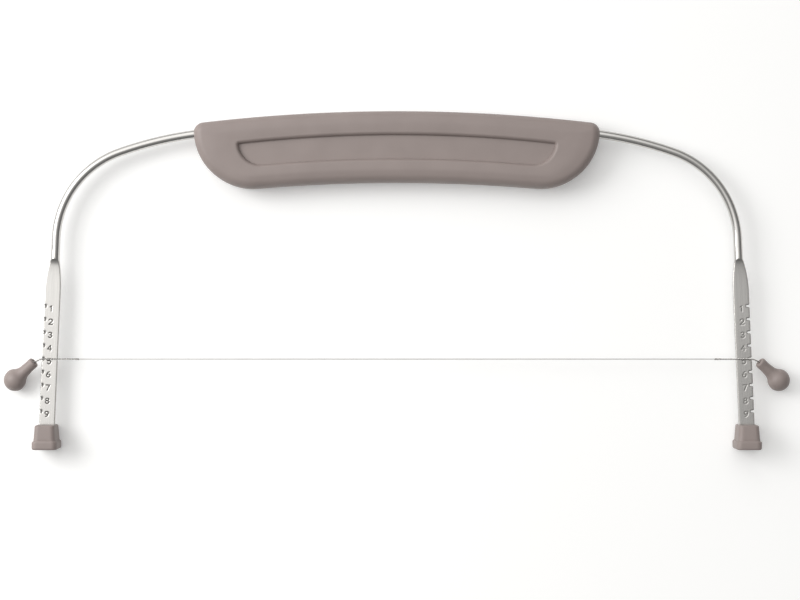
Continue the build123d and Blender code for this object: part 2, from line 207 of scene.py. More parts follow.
# %% Grid to mesh
def closed_surface(name, grid, material, sharp=35.0, **layers):
    """A closed surface from a grid of points in millimetres, shaped (rows, columns, 3).

    Each point is joined to its neighbours in row and column, and the last column to the first. A row that
    shrinks to a point or a line is welded there, which closes the end. The volume is a sixth of the sum of
    a . (b x c) over the triangles. If it is negative, the faces look inwards and are turned round.
    """
    rows, columns = grid.shape[:2]
    index = np.arange(rows * columns).reshape(rows, columns)
    right = np.roll(index, -1, axis=1)
    quads = np.stack([index[:-1], right[:-1], right[1:], index[1:]], -1).reshape(-1, 4)
    points = grid.reshape(-1, 3) * MM
    a, b, c, d = (points[quads[:, k]] for k in range(4))
    volume = (np.einsum("ij,ij->i", a, np.cross(b, c)) + np.einsum("ij,ij->i", a, np.cross(c, d))).sum() / 6
    if volume < 0:
        quads = quads[:, ::-1]
    mesh = bpy.data.meshes.new(name)
    mesh.from_pydata(points.tolist(), [], quads.tolist())
    for key, values in layers.items():
        kind, field = ("FLOAT_VECTOR", "vector") if values.ndim == 3 else ("FLOAT", "value")
        mesh.attributes.new(key, kind, "POINT").data.foreach_set(field, values.ravel().astype(np.float32))
    work = bmesh.new()
    work.from_mesh(mesh)
    bmesh.ops.remove_doubles(work, verts=work.verts, dist=1e-7)
    work.to_mesh(mesh)
    work.free()
    mesh.shade_smooth()
    mesh.set_sharp_from_angle(angle=np.radians(sharp))
    mesh.materials.append(material)
    piece = bpy.data.objects.new(name, mesh)
    bpy.context.scene.collection.objects.link(piece)
    print(f"{name}: {len(mesh.polygons)} faces, {abs(volume) * 1e9:.0f} mm3")
    return piece


def ease(u):
    """0 to 1 with level ends: three u squared less two u cubed."""
    u = np.clip(u, 0.0, 1.0)
    return u * u * (3 - 2 * u)


def smooth_min(a, b, k):
    """The smaller of a and b with a rounded corner between them: half of a + b - sqrt((a - b)^2 + k^2)."""
    return (a + b - np.sqrt((a - b) ** 2 + k * k)) / 2


print("halfway, ease gives", ease(0.5), "and the smooth smaller of 1 and 1 is", smooth_min(1.0, 1.0, 0.2))


# %% [markdown]
# ## Polished bar steel
#
# The bar is drawn stainless steel, polished after bending. Drawing leaves fine lines along its length,
# and the press leaves a slightly duller face on the arms. The lines follow the bent bar, so they are
# noise on the unrolled place of each point, stretched along the length. Real lines are a few hundredths
# of a millimetre apart. They are drawn at 0.2 mm, because finer ones would not show.


# %% Steel
def drawn_steel(name, colour, rough, line_mm, painted_shade_colour=None):
    """Metal with fine lines along its unrolled length, which change its tint, roughness and slope.

    With a shade colour given, the layer of stamp depth and painted shade, from 0 to 1, leads to that colour
    and to a roughness of 0.6.
    """
    material, tree, shader = new_material(name, {"Metallic": 1.0})
    place = add_node(tree, "Attribute", attribute_name="unrolled").outputs["Vector"]
    along = add_node(tree, "Mapping", {"Vector": place, "Scale": (1, 1, 0.006)}).outputs["Vector"]
    lines = add_node(tree, "TexNoise", {"Vector": along, "Scale": 1 / (line_mm * MM), "Detail": 4.0})
    cloud = add_node(tree, "TexNoise", {"Vector": place, "Scale": 1 / (9 * MM), "Detail": 2.0})
    mix = add_node(tree, "Math", {0: cloud.outputs["Fac"], 1: lines.outputs["Fac"]}, operation="MULTIPLY")
    spread = {"From Min": 0.1, "From Max": 0.45, "To Min": rough[0], "To Max": rough[1]}
    roughness = add_node(tree, "MapRange", {"Value": mix.outputs[0], **spread}).outputs["Result"]
    ramp = add_node(tree, "ValToRGB", {"Fac": lines.outputs["Fac"]})
    low, high = ramp.color_ramp.elements
    low.position, low.color = 0.3, linear(colour, 0.92)
    high.position, high.color = 0.7, linear(colour, 1.04)
    tint = ramp.outputs["Color"]
    bump = add_node(tree, "Bump", {"Height": lines.outputs["Fac"], "Strength": 0.12, "Distance": 0.02 * MM})
    # painted shade: this layer darkens and dulls the steel in the digits' grooves and the left arm's notch
    # dimples
    if painted_shade_colour:
        stamp = add_node(tree, "Attribute", attribute_name="stamped").outputs["Fac"]
        tint = add_node(tree, "Mix", {0: stamp, 6: tint, 7: linear(painted_shade_colour)}, data_type="RGBA").outputs[2]
        dull = {"Value": stamp, "To Min": roughness, "To Max": 0.6}
        roughness = add_node(tree, "MapRange", dull).outputs["Result"]
    tree.links.new(tint, shader.inputs["Base Color"])
    tree.links.new(roughness, shader.inputs["Roughness"])
    tree.links.new(bump.outputs["Normal"], shader.inputs["Normal"])
    return material


# 45423f is the painted shade colour of the digits' grooves and the left arm's notch dimples
bar_steel = drawn_steel("polished_drawn_bar_steel", "#cfcdca", (0.16, 0.26), 0.2, painted_shade_colour="#45423f")
wire_steel = drawn_steel("hard_drawn_wire_steel", "#c6c4c1", (0.22, 0.34), 0.1)
print("steels:", bar_steel.name, wire_steel.name)

# %% [markdown]
# ## The bow's line
#
# The bar follows three arcs on each side: a long flat arch under the grip, a shoulder, and a tight corner
# into the straight leg. Within an arc the heading turns at a constant rate, so the heading is a broken
# straight line over distance, and the place is the running sum of the heading's cosine and sine.

# %% Centre line
arch_radius, shoulder_radius, corner_radius = 690.0, 171.0, 43.5
grip_half_length, arch_top, bar_z = 92.1, 72.7, 7.5
leaves_grip = np.degrees(np.arcsin(grip_half_length / arch_radius))
headings = np.radians([0.0, leaves_grip, 19.4, 87.5])
turn_at = np.cumsum([0.0, *(np.diff(headings) * (arch_radius, shoulder_radius, corner_radius))])
leg_start, flare = turn_at[-1], headings[-1]

# heights above the soles, and the length of leg that stays round
leg_start_height, middle_notch_height, tip_height, round_leg = 95.96, 41.0, 2.2, 9.4
tip_at = leg_start + (leg_start_height - tip_height) / np.sin(flare)
middle_notch_at = leg_start + (leg_start_height - middle_notch_height) / np.sin(flare)
flat_at = leg_start + round_leg / np.sin(flare)

step = 0.05
steps = np.arange(0.0, tip_at + 0.1, step)
along = np.interp(steps, turn_at, headings)
run = np.concatenate([[0.0], np.cumsum(np.cos((along[1:] + along[:-1]) / 2) * step)])
fall = np.concatenate([[0.0], np.cumsum(np.sin((along[1:] + along[:-1]) / 2) * step)])


def bow_place(s):
    """Centre and outward direction at signed distances from the bow's middle, mirrored to the left."""
    d, side = np.abs(s), np.where(s < 0, -1.0, 1.0)
    angle = np.interp(d, turn_at, headings)
    x, y = side * np.interp(d, steps, run), arch_top - np.interp(d, steps, fall)
    centre = np.stack([x, y, np.full_like(d, bar_z)], -1)
    outward = np.stack([side * np.sin(angle), np.cos(angle), np.zeros_like(d)], -1)
    return centre, outward


print("bar length", round(2 * tip_at, 1), "mm, tip at", bow_place(np.array([tip_at]))[0].round(2).tolist())

# %% [markdown]
# ## Digits as distances
#
# The arms carry the numbers 1 to 9, stamped in beside the notches. Text objects cut in by a boolean would
# do, but leave ragged shading. Here each digit is a bent line with arcs, a fine grid of the arm's face
# asks how far each of its points is from that line, and the face sinks where that distance is small.


# %% Digit lines
def arc(x, y, width, height, start, end):
    """Points on an ellipse about (x, y), from one angle to another in degrees."""
    t = np.radians(np.linspace(start, end, 15))
    return np.stack([x + width * np.cos(t), y + height * np.sin(t)], -1)


def line(*corners):
    """A bent line through these corners."""
    return np.array(corners, float)


digit_lines = {
    1: [line((-0.5, 0.7), (0.08, 1.2), (0.08, -1.2))],
    2: [np.vstack([arc(0, 0.48, 0.78, 0.72, 165, -38), line((-0.8, -1.2), (0.85, -1.2))])],
    3: [arc(-0.02, 0.6, 0.7, 0.6, 150, -90), arc(-0.02, -0.58, 0.8, 0.62, 90, -150)],
    4: [line((0.4, -1.2), (0.4, 1.2), (-0.85, -0.45), (0.85, -0.45))],
    5: [np.vstack([line((0.7, 1.2), (-0.55, 1.2), (-0.64, 0.2)), arc(0, -0.42, 0.8, 0.78, 128, -150)])],
    6: [arc(0, -0.5, 0.76, 0.7, 0, 360), arc(0.6, -0.5, 1.36, 1.7, 180, 97)],
    7: [line((-0.8, 1.2), (0.8, 1.2), (-0.25, -1.2))],
    8: [arc(0, 0.62, 0.62, 0.58, 0, 360), arc(0, -0.58, 0.78, 0.62, 0, 360)],
    9: [arc(0, 0.5, 0.76, 0.7, 0, 360), arc(-0.6, 0.5, 1.36, 1.7, 0, -83)],
}


def distance_to(lines, x, y):
    """Distance from points to bent lines: to the nearest p + t d of each straight piece, t in 0 to 1."""
    p = np.vstack([part[:-1] for part in lines])
    d = np.vstack([part[1:] - part[:-1] for part in lines])
    dx, dy = x[..., None] - p[:, 0], y[..., None] - p[:, 1]
    t = np.clip((dx * d[:, 0] + dy * d[:, 1]) / (d**2).sum(1), 0, 1)
    return np.sqrt((dx - t * d[:, 0]) ** 2 + (dy - t * d[:, 1]) ** 2).min(-1)


print("digits with", [sum(len(p) - 1 for p in parts) for parts in digit_lines.values()], "straight pieces")

# %% [markdown]
# ## The bow
#
# The real bow is one round bar, 4 mm thick, whose ends are pressed flat. It could be a swept circle joined
# to two plates, but the join would show. One grid carries the whole bar instead, so that the section can
# change along it. Rows are close together only at the step, at the notches and at the digits.

# %% Bow rows and columns
notch_pitch, slot_radius = 6.0, 0.45
notch_at = middle_notch_at + notch_pitch * (np.arange(9) - 4)
digit_at = notch_at + 1.1
round_end = slot_radius * np.sin(np.radians(np.arange(0, 91, 15)))
near_notch = np.concatenate([round_end, [0.46, 0.52, 0.6, 0.7, 0.8, 0.9, 0.96, 1.1]])
rows_of_notches = (notch_at[:, None] + np.concatenate([-near_notch, near_notch])).ravel()
rows_of_digits = (digit_at[:, None] + np.arange(-1.7, 1.75, 0.16)).ravel()
plain_rows = [np.arange(0, leg_start, 1.5), np.arange(leg_start, flat_at - 2, 1.5)]
plain_rows += [np.arange(flat_at - 2, flat_at + 5, 0.2), np.arange(flat_at + 5, tip_at, 1.0), [tip_at]]
rows = np.unique(np.concatenate([*plain_rows, rows_of_notches, rows_of_digits]).round(3))
rows = rows[np.concatenate([[True], np.diff(rows) > 0.004])]
s = np.concatenate([-rows[:0:-1], rows])[:, None]

flank, face = np.arange(-90, -26, 5.5), np.arange(-25.5, 26, 2.5)
front = np.concatenate([flank, face, np.arange(30, 91, 4.6), [90]])
back = np.arange(81.0, -90, -9.0)
turn = np.radians(np.concatenate([front, back]))[None, :]
is_front = np.concatenate([np.ones(len(front)), np.zeros(len(back))])[None, :]
print("bow grid:", len(s), "rows of", turn.shape[1], "points")

# %% [markdown]
# ## Pressed arms
#
# A press squeezes the bar's end between two flat dies. The faces turn flat, the sides stay curved and
# bulge, and the dies' ends leave a small arch-shaped step. A scaled circle would have no flat faces, so the
# section is an ellipse cut off by two planes. Half the thickness falls to 0.7 mm along two fading curves,
# a steep and a slow one, while the width grows from 4 to 7.4 mm over the arm's first 14.3 mm.

# %% Pressed section
bar_width, arm_gain, widening_length = 4.0, 3.4, 14.3
q = np.abs(s) - flat_at
on_arm = q > widening_length
widening = 1 - (1 - np.clip(q / widening_length, 0, 1)) ** 1.9
width = bar_width + arm_gain * widening
pressed = 0.7 + 0.9 * np.exp(-np.clip(q, 0, None) / 0.7) + 0.55 * np.exp(-np.clip(q, 0, None) / 3.5)
half_thickness = np.where(q > 0, pressed, np.minimum(2.15 - 0.72 * q, 3.2))
across = width / 2 * np.sin(turn)
up = smooth_min(bar_width / 2 * np.abs(np.cos(turn)), half_thickness, 0.16)
unrolled = np.stack([across + 0 * s, up * (2 * is_front - 1), s + 0 * turn], -1) * MM
arm_size = (float(width.max()), 2 * float(half_thickness[-1, 0]))
print("arm width and thickness:", [round(v, 2) for v in arm_size], "mm")

# %% [markdown]
# ## Notches
#
# Nine notches, 6 mm apart, hold the wire at the arm's outer edge. A boolean could cut them, but would leave
# ragged shading round every cut. Here the columns beyond 1.6 mm from the arm's middle are pushed inward,
# row by row, until the edge follows the slot.
#
# In the photograph the right arm's notches are open slots, 0.9 mm wide and 1.5 mm deep, with a round end, a
# rounded mouth and a rim that slopes down at 35 degrees. The left arm's show as dark dimples behind a small
# nick, and their dark is painted shade in the steel's colour. Both are built as they are seen.

# %% Notch forms
slot_length, unmoved = 1.05, 1.6
rim_reach, rim_slope = 0.45, 0.7
off = np.abs(np.abs(s) - notch_at).min(1, keepdims=True)
slot = np.where(s < 0, 0.0, slot_length) + np.sqrt(np.clip(slot_radius**2 - off**2, 0, None))
to_mouth = np.clip(2 * slot_radius - off, 0, slot_radius)
mouth = slot_radius - np.sqrt(np.clip(slot_radius**2 - to_mouth**2, 0, None))
cut = np.where(off <= slot_radius, slot, np.where(off < 2 * slot_radius, mouth, 0.0)) * on_arm
squeeze = (width / 2 - cut - unmoved) / (width / 2 - unmoved)
across = np.where((across > unmoved) & on_arm, unmoved + (across - unmoved) * squeeze, across)

inward = width / 2 - across
to_slot = np.hypot(np.clip(inward - slot_length, 0, None), off) - slot_radius
open_rim = rim_slope * np.clip(rim_reach - to_slot, 0, rim_reach) * on_arm * (across > 1.3)
# the left arm's dimple: a shallow dip whose depth also sets painted shade in the steel's colour
dimple = np.clip(1 - ((inward - 0.95) / 0.8) ** 2 - (off / 1.1) ** 2, 0, 1) * on_arm
pressed_in = np.where(s < 0, 0.15 * dimple, open_rim)
print("notches at", (notch_at - leg_start).round(1).tolist(), "mm down the leg")

# %% [markdown]
# ## Stamped digits
#
# A stamp leaves a groove with a round bottom, here 0.33 mm to each side of the digit's line and 0.11 mm
# deep. Its depth also goes to the steel as a layer of painted shade that darkens and dulls it: fully on the
# left arm, whose digits and dimples look dark against the bright face, and by less than half on the grey
# right arm. The left arm's digits also sit 0.2 mm further out.

# %% Stamped grooves
groove_half_width, groove_depth, left_digits_out = 0.33, 0.11, 0.2
side = np.where(s < 0, -1.0, 1.0)
x = side * (across - np.where(s < 0, left_digits_out, 0.0))
stamped = np.zeros_like(across)
for digit, parts in digit_lines.items():
    y = digit_at[digit - 1] - np.abs(s) + 0 * x
    close = (np.abs(x) < 1.6) & (np.abs(y) < 1.8) & (is_front > 0)
    groove = np.clip(1 - (distance_to(parts, x[close], y[close]) / groove_half_width) ** 2, 0, 1)
    stamped[close] = np.maximum(stamped[close], groove)
height = np.where(is_front > 0, up - pressed_in - groove_depth * stamped, -(up - 0.5 * pressed_in))
# painted shade in the digits' grooves and the left arm's notch dimples, weaker on the grey right arm
painted_groove_shade = np.where(s < 0, np.maximum(stamped, np.clip(1.3 * dimple, 0, 0.8)), 0.45 * stamped)
print("points inside a digit's groove:", int((stamped > 0).sum()))

# %% [markdown]
# ## The bow's surface
#
# The forms so far are those of a straight bar. Bending it adds each point's place across along the bar's
# outward direction, and its height upward. The press drives most of the steel outward, so the arm's
# section moves out by 0.4 mm as it widens. A row that shrinks to the section's middle closes each end.

# %% Bow surface
centre, outward = bow_place(s[:, 0])
grid = centre[:, None] + outward[:, None] * (across + 0.4 * widening)[..., None]
grid[..., 2] += height
ends = (slice(0, 1), slice(-1, None))
caps = [np.broadcast_to(grid[end].mean(1, keepdims=True), grid[end].shape) for end in ends]
grid = np.concatenate([caps[0], grid, caps[1]])
pad = ((1, 1), (0, 0))
unrolled = np.pad(unrolled, (*pad, (0, 0)), mode="edge")
bow = closed_surface("bow_bar", grid, bar_steel, unrolled=unrolled, stamped=np.pad(painted_groove_shade, pad))
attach(bow, "bow")
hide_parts("bow_frame")

# %% [markdown]
# ## Moulded plastic
#
# The grip, feet and knobs are ABS from spark-eroded moulds: a matt taupe skin of very fine pits. Pits could
# be real geometry, but at a tenth of a millimetre a bump from noise does the same for far less. They are
# drawn at 0.35 mm, coarser than the real ones, because finer ones would not show. Slow clouds of a few
# percent stand for the uneven flow of the plastic.


# %% Plastic
def moulded_abs(name, colour, pit_mm, cloud_mm):
    """Matt plastic: fine pits in its slope and its roughness, and wide clouds in its tint."""
    material, tree, shader = new_material(name, {})
    place = add_node(tree, "TexCoord").outputs["Object"]
    pits = add_node(tree, "TexNoise", {"Vector": place, "Scale": 1 / (pit_mm * MM), "Detail": 3.0})
    cloud = add_node(tree, "TexNoise", {"Vector": place, "Scale": 1 / (cloud_mm * MM), "Detail": 2.0})
    tint = add_node(tree, "ValToRGB", {"Fac": cloud.outputs["Fac"]})
    low, high = tint.color_ramp.elements
    low.position, low.color = 0.3, linear(colour, 0.96)
    high.position, high.color = 0.7, linear(colour, 1.04)
    tree.links.new(tint.outputs["Color"], shader.inputs["Base Color"])
    rough = add_node(tree, "MapRange", {"Value": pits.outputs["Fac"], "To Min": 0.42, "To Max": 0.58})
    tree.links.new(rough.outputs["Result"], shader.inputs["Roughness"])
    bump = add_node(tree, "Bump", {"Height": pits.outputs["Fac"], "Strength": 0.3, "Distance": 0.05 * MM})
    tree.links.new(bump.outputs["Normal"], shader.inputs["Normal"])
    return material


taupe = moulded_abs("moulded_abs_taupe", "#948884", 0.35, 14.0)
print("plastic:", taupe.name)

# %% [markdown]
# ## The grip's outline
#
# Seen from the front the grip is a closed line of arcs: an arched bottom, large lower corners, small upper
# corners and an arched top. An arc that touches two others has its centre where two circles cross, one
# about each of their centres, so the outline needs only the radii. The sunken panel has an outline of the
# same kind, and both get the same number of points, so that rings between them can be drawn straight.


# %% Outlines
def crossing(x0, y0, r0, x1, y1, r1):
    """The right-hand point at distance r0 from one centre and r1 from another."""
    d = np.hypot(x1 - x0, y1 - y0)
    a = (r0**2 - r1**2 + d**2) / (2 * d)
    h = np.sqrt(r0**2 - a**2)
    ux, uy = (x1 - x0) / d, (y1 - y0) / d
    points = [(x0 + a * ux - h * uy * k, y0 + a * uy + h * ux * k) for k in (-1, 1)]
    return max(points)


def outline(arcs, counts):
    """A closed ring of points, with their outward directions, from the arcs of its right half.

    An arc is (centre x, centre y, radius, start, end), with its angles in degrees. Outward is away from
    the arc's centre, and the other way round where the radius is written as negative, which marks an arc
    whose centre lies outside the shape. The left half is the mirror image.
    """
    points, normals = [], []
    for (x, y, radius, start, end), count in zip(arcs, counts):
        t = np.radians(np.linspace(start, end, count, endpoint=False) + (end - start) / count / 2)
        way = np.stack([np.cos(t), np.sin(t)], -1)
        points.append(np.array([x, y]) + abs(radius) * way)
        normals.append(way * np.sign(radius))
    points, normals = np.vstack(points), np.vstack(normals)
    mirror = np.array([-1.0, 1.0])
    return np.vstack([points, (points * mirror)[::-1]]), np.vstack([normals, (normals * mirror)[::-1]])


def arched_shape(bottom, bottom_radius, lower, top, top_radius, upper_radius):
    """Arcs of the right half of a shape with an arched bottom, an arched top and two round corners.

    The lower corner is (centre x, centre y, radius). The upper one has only a radius: its circle touches
    the lower corner's circle and the top's from inside.
    """
    low_x, low_y, low_radius = lower
    bottom_y, top_y = bottom - bottom_radius, top - top_radius
    up_x, up_y = crossing(low_x, low_y, low_radius - upper_radius, 0.0, top_y, top_radius - upper_radius)
    touch_bottom = np.degrees(np.arctan2(low_y - bottom_y, low_x))
    touch_low = np.degrees(np.arctan2(up_y - low_y, up_x - low_x))
    touch_top = np.degrees(np.arctan2(up_y - top_y, up_x))
    return [
        (0.0, bottom_y, -bottom_radius, 90.0, touch_bottom),
        (low_x, low_y, low_radius, touch_bottom - 180.0, touch_low),
        (up_x, up_y, upper_radius, touch_low, touch_top),
        (0.0, top_y, top_radius, touch_top, 90.0),
    ]


grip_arcs = arched_shape(
    bottom=44.55,
    bottom_radius=746.9,
    lower=(65.7, 68.15, 26.4),
    top=76.75,
    top_radius=757.4,
    upper_radius=4.6,
)
panel_arcs = arched_shape(
    bottom=54.7,
    bottom_radius=666.6,
    lower=(61.6, 62.29, 10.4),
    top=66.2,
    top_radius=634.2,
    upper_radius=0.9,
)
points_per_arc = (46, 34, 14, 60)
grip_line, grip_normal = outline(grip_arcs, points_per_arc)
panel_line, panel_normal = outline(panel_arcs, points_per_arc)
half_lengths = [float(ring[:, 0].max().round(2)) for ring in (grip_line, panel_line)]
print("grip and panel:", len(grip_line), "points each, half lengths", half_lengths, "mm")

# %% [markdown]
# ## Rings of the grip
#
# Each half of the grip is a stack of rings, from one point to another. It starts in the middle of the
# parting plane, runs out to the outline, round the edge and back to the middle of the face. Rings at the
# edge are the outline moved inward along its normals while the height changes, and rings on a face lie in
# straight lines between two others.


# %% Ring helpers
def rings_between(inner, outer, inner_z, outer_z, count):
    """Rings from one ring to the next in straight lines, with a height for each: (1 - v) a + v b."""
    v = np.linspace(0, 1, count + 2)[1:-1, None, None]
    return (1 - v) * inner + v * outer, np.interp(v[:, 0, 0], [0, 1], [inner_z, outer_z])


def stack(flat_rings, heights):
    """Rings of (x, y) points and one height per ring, as a grid of (x, y, z) points."""
    flat = np.concatenate(flat_rings)
    z = np.concatenate(heights)[:, None] + np.zeros(flat.shape[1])
    return np.concatenate([flat, z[..., None]], -1)


def moved(ring, normal, offsets):
    """Copies of a ring, each moved outward along its normals by one of the offsets."""
    return ring[None] + np.asarray(offsets, float)[:, None, None] * normal[None]


parting_z, bevel = 7.5, 0.25
grip_centre = np.broadcast_to(np.array([0.0, 60.5]), (1, *grip_line.shape))
print("halves part at", parting_z, "mm")

# %% [markdown]
# ## Front half
#
# The side stands upright to 10.4 mm, and the edge then follows an ellipse for 80 degrees, 4.3 mm wide and
# 4.25 mm high. The face rises 0.37 mm further to its crown and falls a little before the panel. The panel's
# wall is a quarter of an ellipse, 1.7 mm wide and 2.1 mm deep. A small bevel on each half makes the parting
# groove round the side.

# %% Front grip
roll = np.radians(np.arange(0, 81, 8))
front_inset = -4.3 * (1 - np.cos(roll))
edge_rings = moved(grip_line, grip_normal, np.concatenate([[-bevel, 0, 0], front_inset]))
edge_z = np.concatenate([[parting_z, parting_z + bevel, 9.2], 10.4 + 4.25 * np.sin(roll)])

rim_top, wall_depth, wall_width, wall_starts = 14.8, 2.1, 1.7, 1.25
panel_floor = rim_top - wall_depth
rim = np.radians(np.arange(0, 91, 7.5))
rim_rings = moved(panel_line, panel_normal, wall_starts - wall_width * np.sin(rim))
rim_z = rim_top - wall_depth * (1 - np.cos(rim))

crown, across_face = rings_between(edge_rings[-1], rim_rings[0], 0, 1, 20)
rise = 0.37 * np.sin(np.pi / 2 * np.clip(across_face / 0.45, 0, 1))
fall_to_rim = 0.18 * np.clip(across_face / 0.55 - 0.82, 0, 1) ** 2
crown_z = edge_z[-1] + rise - fall_to_rim
floor_rings, floor_z = rings_between(rim_rings[-1], grip_centre[0], panel_floor, panel_floor, 4)

front_rings = [grip_centre, edge_rings, crown, rim_rings, floor_rings, grip_centre]
front_grid = stack(front_rings, [[parting_z], edge_z, crown_z, rim_z, floor_z, [panel_floor]])
front_grip = closed_surface("front_grip_skin", front_grid, taupe, sharp=50)
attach(front_grip, "bow")
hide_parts("front_grip_shell")

# %% [markdown]
# ## Back half
#
# The back half has the same outline and no panel. Its edge is a quarter of a circle of 4.2 mm, and its flat
# back lies on the table.

# %% Back grip
edge_radius = 4.2
roll = np.radians(np.arange(0, 91, 9))
back_inset = -edge_radius * (1 - np.cos(roll))
back_edge = moved(grip_line, grip_normal, np.concatenate([[-bevel, 0, 0], back_inset]))
back_edge_z = edge_radius - edge_radius * np.sin(roll)
back_z = np.concatenate([[parting_z, parting_z - bevel, 5.8], back_edge_z])
back_flat, back_flat_z = rings_between(back_edge[-1], grip_centre[0], 0, 0, 5)
back_rings = [grip_centre, back_edge, back_flat, grip_centre]
back_grid = stack(back_rings, [[parting_z], back_z, back_flat_z, [0.0]])
back_grip = closed_surface("back_grip_skin", back_grid, taupe, sharp=50)
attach(back_grip, "bow")
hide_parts("back_grip_shell")

# %% [markdown]
# ## Feet
#
# A foot is a rounded rectangle carried up from the sole: a flange, a ledge, a tapering sleeve, and the
# socket that goes back down inside. Each row has its own width, depth, corner radius and height. A point
# of the section is a corner's centre plus the radius times a direction, and on the flats the centre
# slides along the side, so one formula serves the whole outline.

# %% Foot section
corner = np.radians(np.arange(0, 91, 15.0))
sine, versine = np.sin(corner), 1 - np.cos(corner)

# a point is (corner across, corner in depth, direction across, direction in depth)
quarter = np.stack([np.ones_like(corner), np.ones_like(corner), np.cos(corner), sine], -1)
flat_top = np.stack([np.linspace(0.8, -0.8, 9), np.ones(9), np.zeros(9), np.ones(9)], -1)
flat_side = np.stack([np.ones(5), np.linspace(-0.6, 0.6, 5), np.ones(5), np.zeros(5)], -1)
to_left, to_far_left, to_far_right = (-1, 1, -1, 1), (-1, -1, -1, -1), (1, -1, 1, -1)
section = np.vstack(
    [
        flat_side[2:],
        quarter,
        flat_top,
        quarter[::-1] * to_left,
        flat_side[::-1] * to_left,
        quarter * to_far_left,
        flat_top * (-1, -1, 1, -1),
        quarter[::-1] * to_far_right,
        flat_side[:2],
    ]
)
print("foot section:", len(section), "points")

# %% [markdown]
# ## Foot profile
#
# The rows below run from the middle of the sole, over its rounded edge, the flange, the ledge and the
# sleeve to the mouth, and down the socket to its floor. On the front and the back the ledge's edge arches
# up by 0.45 mm. The socket leans with the leg: it moves sideways by the tangent of 2.5 degrees times the
# height over its middle.

# %% Foot rows
# each row is (height, width, depth, corner radius)
profile = np.vstack(
    [
        [(0.0, 0.0, 0.0, 0.0)],
        np.stack([0.9 * versine, 11.6 - 1.8 * (1 - sine), 15.0 - 1.8 * (1 - sine), 1.5 + 0.9 * sine], -1),
        [(1.6, 11.6, 15.0, 2.4), (2.4, 11.6, 15.0, 2.4)],
        np.stack([3.1 + 0.8 * sine, 11.6 - 1.3 * versine, 15.0 - 1.3 * versine, 2.4 - 0.3 * versine], -1),
        [(4.2, 10.16, 13.76, 2.2), (5.5, 9.93, 13.6, 2.2), (7.5, 9.6, 13.4, 2.1), (9.2, 9.3, 13.2, 2.0)],
        np.stack([10.4 + 0.7 * sine, 9.1 - 1.4 * versine, 13.05 - 1.4 * versine, 2.0 - 0.4 * versine], -1),
        [(11.1, 7.56, 1.56, 0.1), (11.0, 7.52, 1.52, 0.1), (2.2, 7.52, 1.52, 0.1), (2.2, 0.0, 0.0, 0.0)],
    ]
)
height, width, depth, radius = (profile[:, k, None] for k in range(4))
corner_x, corner_z, way_x, way_z = section.T
foot_x = corner_x * (width / 2 - radius) + way_x * radius
foot_z = corner_z * (depth / 2 - radius) + way_z * radius

ledge_height, ledge_arch, ledge_half_width = 3.9, 0.45, 5.2
at_ledge = np.exp(-(((height - ledge_height) / 0.45) ** 2)) * (width > 9.95) * (np.abs(foot_z) > 5)
foot_y = height + ledge_arch * np.clip(1 - (foot_x / ledge_half_width) ** 2, 0, 1) * at_ledge
in_socket = (width < 7.6) & (height > 2) & (depth < 2)
socket_middle = 5.55
foot_x = foot_x + np.where(in_socket, (socket_middle - height) * np.tan(np.pi / 2 - flare), 0.0)
print("foot profile:", len(profile), "rows")

# %% Feet
foot_at, sole_y = 159.43, -76.75
for name, sign in (("left_foot", -1.0), ("right_foot", 1.0)):
    grid = np.stack([sign * (foot_at + foot_x), foot_y + sole_y, bar_z + foot_z], -1)
    foot = closed_surface(name + "_moulding", grid, taupe, sharp=40)
    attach(foot, "bow")
    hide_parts(name)

# %% [markdown]
# ## Knobs
#
# A knob is a turned form: a half outline spun about the knob's axis. Its outline starts inside, at the
# crimp's chamber, comes out through the bore, rounds the tip's rim, runs down the slightly waisted neck
# and over the ball. A fine moulding line, where the two halves of the mould met, goes round it lengthwise.
# The knob hangs from its tip at 42 degrees below the level of the wire, and its ball lies on the table,
# which sets how steeply the axis drops.

# %% Knob axis
tip = np.array([164.980, -37.050, 7.600])
ball_radius, ball_at = 5.05, 12.74
drop = tip[2] - ball_radius
reach = np.sqrt(ball_at**2 - drop**2)
hang = np.radians(42.0)
axis = np.array([reach * np.cos(hang), -reach * np.sin(hang), -drop]) / ball_at
level = np.array([np.sin(hang), np.cos(hang), 0.0])
upward = np.cross(level, axis)
print("knob axis", axis.round(3).tolist(), "with the ball on the table")

# %% Knob outline
# a point of the outline is (distance from the tip, distance from the axis)
chamber = [(13.45, 0), (13.45, 1.35), (8.95, 1.35), (8.95, 0.52)]
bore = [(4.0, 0.52), (1.5, 0.52), (0.6, 0.9), (0.1, 1.0), (0.0, 1.12), (0.0, 1.4)]
rim_turn = np.radians(np.arange(0, 91, 15))
tip_rim = np.stack([0.75 - 0.75 * np.cos(rim_turn), 1.75 + 0.72 * np.sin(rim_turn)], -1)
neck_radius, neck_at = 2.46, np.linspace(0.95, 5.4, 10)
waist = 0.1 * np.sin(np.pi * (neck_at - 0.95) / 4.45)
neck = np.stack([neck_at, neck_radius - waist + 0.02 * neck_at], -1)
hollow_radius, hollow_at, hollow_out = 6.0, 5.802, 8.6
hollow = np.radians(np.linspace(-88, -52, 12))
hollow_arc = [hollow_at + hollow_radius * np.cos(hollow), hollow_out + hollow_radius * np.sin(hollow)]
hollow_arc = np.stack(hollow_arc, -1)[hollow_arc[0] > 5.9]
ball_turn = np.radians(np.linspace(128.9, 0, 34))
ball = np.stack([ball_at + ball_radius * np.cos(ball_turn), ball_radius * np.sin(ball_turn)], -1)
half_outline = np.vstack([chamber, bore, tip_rim, neck, hollow_arc, ball])
print("knob outline:", len(half_outline), "points")

